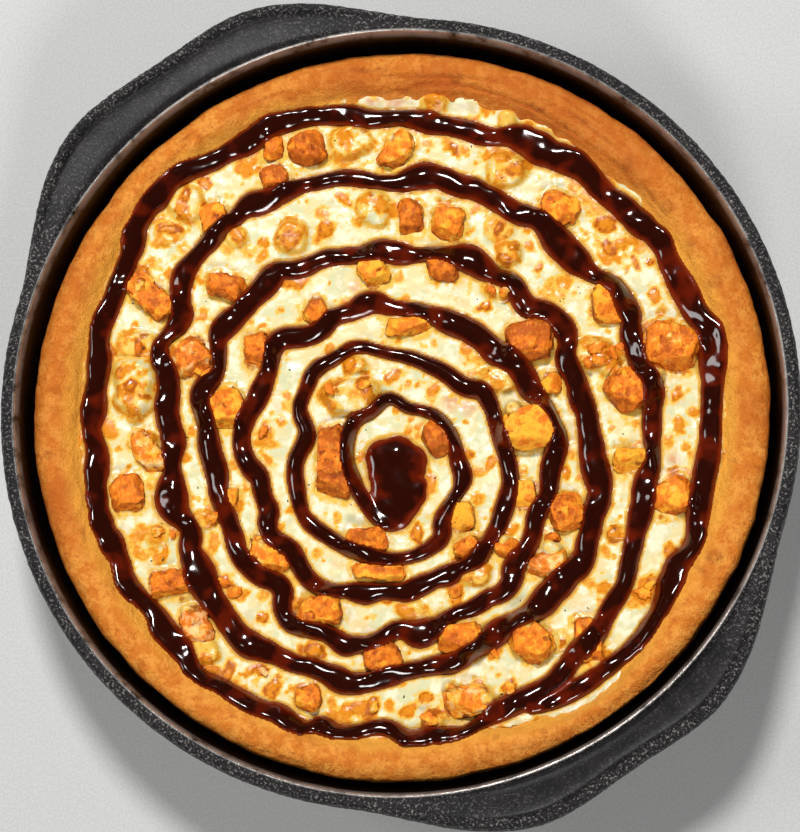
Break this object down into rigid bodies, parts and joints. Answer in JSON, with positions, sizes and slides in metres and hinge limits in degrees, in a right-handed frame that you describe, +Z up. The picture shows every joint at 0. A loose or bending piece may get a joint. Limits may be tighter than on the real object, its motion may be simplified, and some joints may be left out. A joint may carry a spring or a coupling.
{
  "type": "deep dish pizza in pan",
  "caption": "Deep dish pizza with a raised browned crust, melted cheese, grilled chicken chunks and a spiral of thick sauce, baked in its round cast iron pan with tab handles.",
  "frame": {"origin": "middle of the pan's flat base, on the surface it stands on", "axes": "+Z up through the pizza; seen from above the two tab handles lie at 123 and 303 degrees anticlockwise from +X"},
  "size_m": [0.26, 0.272, 0.046],
  "materials": {
    "pan": "black seasoned cast iron, pebbly on the rim, oiled on the wall",
    "crust": "golden brown baked dough with an oily sheen",
    "cheese": "melted pale cheese with browned blisters",
    "sauce": "thick glossy dark red-brown sauce",
    "chicken": "grilled golden orange, moist"
  },
  "bodies": {
    "root": {"pan": "pan", "crust": "crust", "cheese": "cheese", "chunk_01": "chicken", "chunk_02": "chicken", "chunk_03": "chicken", "chunk_04": "chicken", "chunk_05": "chicken", "chunk_06": "chicken", "chunk_07": "chicken", "chunk_08": "chicken", "chunk_09": "chicken", "chunk_10": "chicken", "chunk_11": "chicken", "chunk_12": "chicken", "chunk_13": "chicken", "chunk_14": "chicken", "chunk_15": "chicken", "chunk_16": "chicken", "chunk_17": "chicken", "chunk_18": "chicken", "chunk_19": "chicken", "chunk_20": "chicken", "chunk_21": "chicken", "chunk_22": "chicken", "chunk_23": "chicken", "chunk_24": "chicken", "chunk_25": "chicken", "chunk_26": "chicken", "chunk_27": "chicken", "chunk_28": "chicken", "chunk_29": "chicken", "chunk_30": "chicken", "chunk_31": "chicken", "chunk_32": "chicken", "chunk_33": "chicken", "chunk_34": "chicken", "chunk_35": "chicken", "chunk_36": "chicken", "chunk_37": "chicken", "chunk_38": "chicken", "chunk_39": "chicken", "chunk_40": "chicken", "chunk_41": "chicken", "chunk_42": "chicken", "chunk_43": "chicken", "chunk_44": "chicken", "chunk_45": "chicken", "chunk_46": "chicken", "chunk_47": "chicken", "chunk_48": "chicken", "chunk_49": "chicken", "chunk_50": "chicken"}
  },
  "joints": []
}
